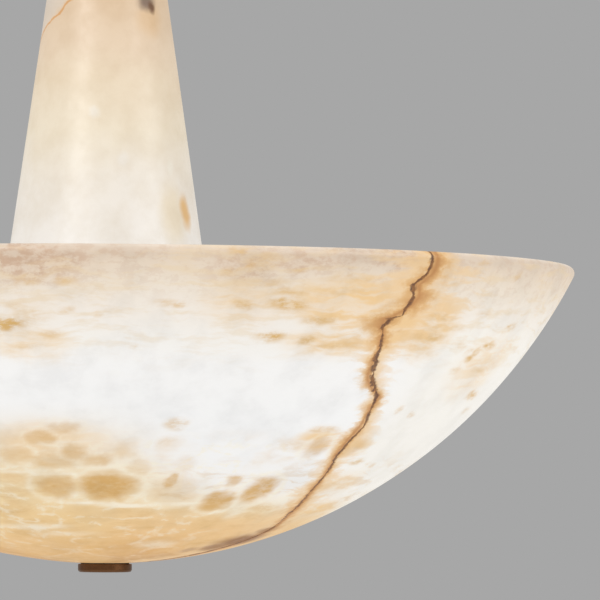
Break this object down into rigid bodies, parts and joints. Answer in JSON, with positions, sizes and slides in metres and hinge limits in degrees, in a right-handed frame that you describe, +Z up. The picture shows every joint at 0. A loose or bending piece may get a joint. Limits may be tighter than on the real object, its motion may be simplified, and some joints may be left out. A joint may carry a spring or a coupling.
{
  "type": "alabaster bowl pendant",
  "caption": "Ceiling pendant with a shallow alabaster bowl lit from inside, hung on a hollow alabaster cone with a bronze rod, swivel, canopy and finial.",
  "frame": {"origin": "centre of the ceiling plane, between the mounting bracket's two slots", "axes": "+Z up into the ceiling along the pendant's axis; +X along the mounting bracket"},
  "size_m": [0.5998, 0.5998, 0.835],
  "materials": {
    "alabaster": "honed",
    "bronze": "dark patina, satin",
    "zinc_steel": "zinc plated",
    "white_steel": "satin powder coat",
    "brass": "bright",
    "terminal_plastic": "moulded",
    "nylon": "moulded",
    "lead_sheath": "smooth sheath",
    "core_insulation": "heat proof sleeve",
    "silicone": "matt",
    "holder_ceramic": "thin glaze",
    "lamp_ceramic": "bisque",
    "opal_glass": "opal"
  },
  "bodies": {
    "ceiling_mount": {"mounting_bracket": "zinc_steel", "hanger_nipple": "zinc_steel", "hanger_lock_washer": "zinc_steel", "hanger_locknuts": "zinc_steel", "hanger_yoke": "bronze", "terminal_block": "terminal_plastic", "terminal_clamp_screws": "brass", "terminal_block_screws": "zinc_steel", "earth_screw": "brass", "canopy_lead": "lead_sheath", "canopy_lead_cores": "core_insulation"},
    "canopy_body": {"canopy": "bronze"},
    "canopy_ring_body": {"canopy_ring": "bronze"},
    "gimbal_body": {"gimbal_ring": "bronze", "gimbal_pins": "zinc_steel"},
    "stem_body": {"rod_yoke": "bronze", "rod_tube": "bronze", "stem_lead": "lead_sheath", "stem_lead_cores": "core_insulation", "support_tube": "zinc_steel", "cone_cap": "bronze", "cone_cap_gasket": "silicone", "alabaster_stem": "alabaster", "cone_base_gasket": "silicone", "lamp_plate": "white_steel", "tube_locknuts": "zinc_steel", "cluster_body": "white_steel", "cluster_cover": "white_steel", "cluster_screws": "zinc_steel", "terminal_ring": "terminal_plastic", "terminal_ring_screws": "zinc_steel", "side_lamp_holders": "holder_ceramic", "stem_lamp_holders": "holder_ceramic", "holder_screws": "zinc_steel", "holder_leads": "core_insulation", "bowl_stud": "zinc_steel", "stud_nuts": "zinc_steel", "bowl_stop_washer": "zinc_steel", "bowl_inner_gasket": "silicone"},
    "side_lamp_1_body": {"side_lamp_1_base": "lamp_ceramic", "side_lamp_1_globe": "opal_glass"},
    "side_lamp_2_body": {"side_lamp_2_base": "lamp_ceramic", "side_lamp_2_globe": "opal_glass"},
    "side_lamp_3_body": {"side_lamp_3_base": "lamp_ceramic", "side_lamp_3_globe": "opal_glass"},
    "side_lamp_4_body": {"side_lamp_4_base": "lamp_ceramic", "side_lamp_4_globe": "opal_glass"},
    "side_lamp_5_body": {"side_lamp_5_base": "lamp_ceramic", "side_lamp_5_globe": "opal_glass"},
    "side_lamp_6_body": {"side_lamp_6_base": "lamp_ceramic", "side_lamp_6_globe": "opal_glass"},
    "stem_lamp_1_body": {"stem_lamp_1_base": "lamp_ceramic", "stem_lamp_1_globe": "opal_glass"},
    "stem_lamp_2_body": {"stem_lamp_2_base": "lamp_ceramic", "stem_lamp_2_globe": "opal_glass"},
    "bowl_body": {"alabaster_bowl": "alabaster", "bowl_hole_sleeve": "nylon", "bowl_outer_gasket": "silicone"},
    "finial_body": {"finial": "bronze"}
  },
  "joints": [
    {"name": "canopy_drop", "type": "slide", "parent": "ceiling_mount", "child": "canopy_body", "axis": [0, 0, -1], "range_m": [0, 0.008]},
    {"name": "ring_turn", "type": "hinge", "parent": "canopy_body", "child": "canopy_ring_body", "pos_m": [0, 0, -0.0635], "axis": [0, 0, -1], "range_deg": [0, 2880]},
    {"name": "swing_x", "type": "hinge", "parent": "ceiling_mount", "child": "gimbal_body", "pos_m": [0, 0, -0.091], "axis": [1, 0, 0], "range_deg": [-20, 20]},
    {"name": "swing_y", "type": "hinge", "parent": "gimbal_body", "child": "stem_body", "pos_m": [0, 0, -0.091], "axis": [0, 1, 0], "range_deg": [-20, 20]},
    {"name": "side_lamp_1_pull", "type": "slide", "parent": "stem_body", "child": "side_lamp_1_body", "axis": [1, 0, 0], "range_m": [0, 0.012]},
    {"name": "side_lamp_2_pull", "type": "slide", "parent": "stem_body", "child": "side_lamp_2_body", "axis": [0.5, 0.866, 0], "range_m": [0, 0.012]},
    {"name": "side_lamp_3_pull", "type": "slide", "parent": "stem_body", "child": "side_lamp_3_body", "axis": [-0.5, 0.866, 0], "range_m": [0, 0.012]},
    {"name": "side_lamp_4_pull", "type": "slide", "parent": "stem_body", "child": "side_lamp_4_body", "axis": [-1, 0, 0], "range_m": [0, 0.012]},
    {"name": "side_lamp_5_pull", "type": "slide", "parent": "stem_body", "child": "side_lamp_5_body", "axis": [-0.5, -0.866, 0], "range_m": [0, 0.012]},
    {"name": "side_lamp_6_pull", "type": "slide", "parent": "stem_body", "child": "side_lamp_6_body", "axis": [0.5, -0.866, 0], "range_m": [0, 0.012]},
    {"name": "stem_lamp_1_pull", "type": "slide", "parent": "stem_body", "child": "stem_lamp_1_body", "axis": [0, 0, 1], "range_m": [0, 0.012]},
    {"name": "stem_lamp_2_pull", "type": "slide", "parent": "stem_body", "child": "stem_lamp_2_body", "axis": [0, 0, 1], "range_m": [0, 0.012]},
    {"name": "bowl_drop", "type": "slide", "parent": "stem_body", "child": "bowl_body", "axis": [0, 0, -1], "range_m": [0, 0.012]},
    {"name": "finial_turn", "type": "hinge", "parent": "bowl_body", "child": "finial_body", "pos_m": [0, 0, -0.83244], "axis": [0, 0, -1], "range_deg": [0, 2880]}
  ],
  "couplings": [
    {"joint": "ring_turn", "follows": "canopy_drop", "rad_per_m": 6283.2},
    {"joint": "finial_turn", "follows": "bowl_drop", "rad_per_m": 4188.8}
  ]
}
